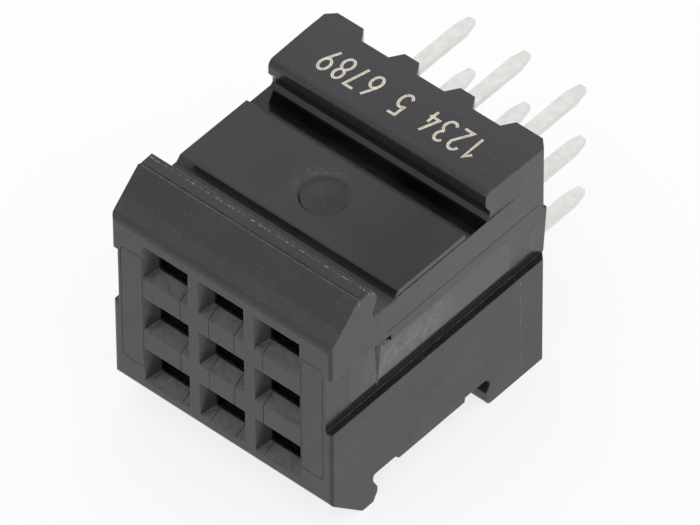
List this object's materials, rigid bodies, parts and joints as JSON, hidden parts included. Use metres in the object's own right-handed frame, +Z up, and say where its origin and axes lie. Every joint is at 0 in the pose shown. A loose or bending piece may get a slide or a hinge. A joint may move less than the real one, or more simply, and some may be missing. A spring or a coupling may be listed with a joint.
{
  "type": "board-to-board connector socket module",
  "caption": "Black moulded socket module with a grid of funnel-mouthed sockets, hooked rails above and below, and stamped contacts whose flat solder tails stand out at the rear.",
  "frame": {"origin": "on the flat mating face, on the axis of the middle socket", "axes": "+X along a row of sockets, +Y from the mating face to the tips of the solder tails, +Z up, towards the marked top of the rear block"},
  "size_m": [0.01, 0.0162, 0.0105],
  "materials": {
    "moulding": "black glass-filled moulding, satin with a fine grain",
    "contact_metal": "matt tin plating on copper alloy strip"
  },
  "bodies": {
    "root": {"housing": "moulding", "contact_1_1": "contact_metal", "contact_1_2": "contact_metal", "contact_1_3": "contact_metal", "contact_2_1": "contact_metal", "contact_2_2": "contact_metal", "contact_2_3": "contact_metal", "contact_3_1": "contact_metal", "contact_3_2": "contact_metal", "contact_3_3": "contact_metal"}
  },
  "joints": []
}
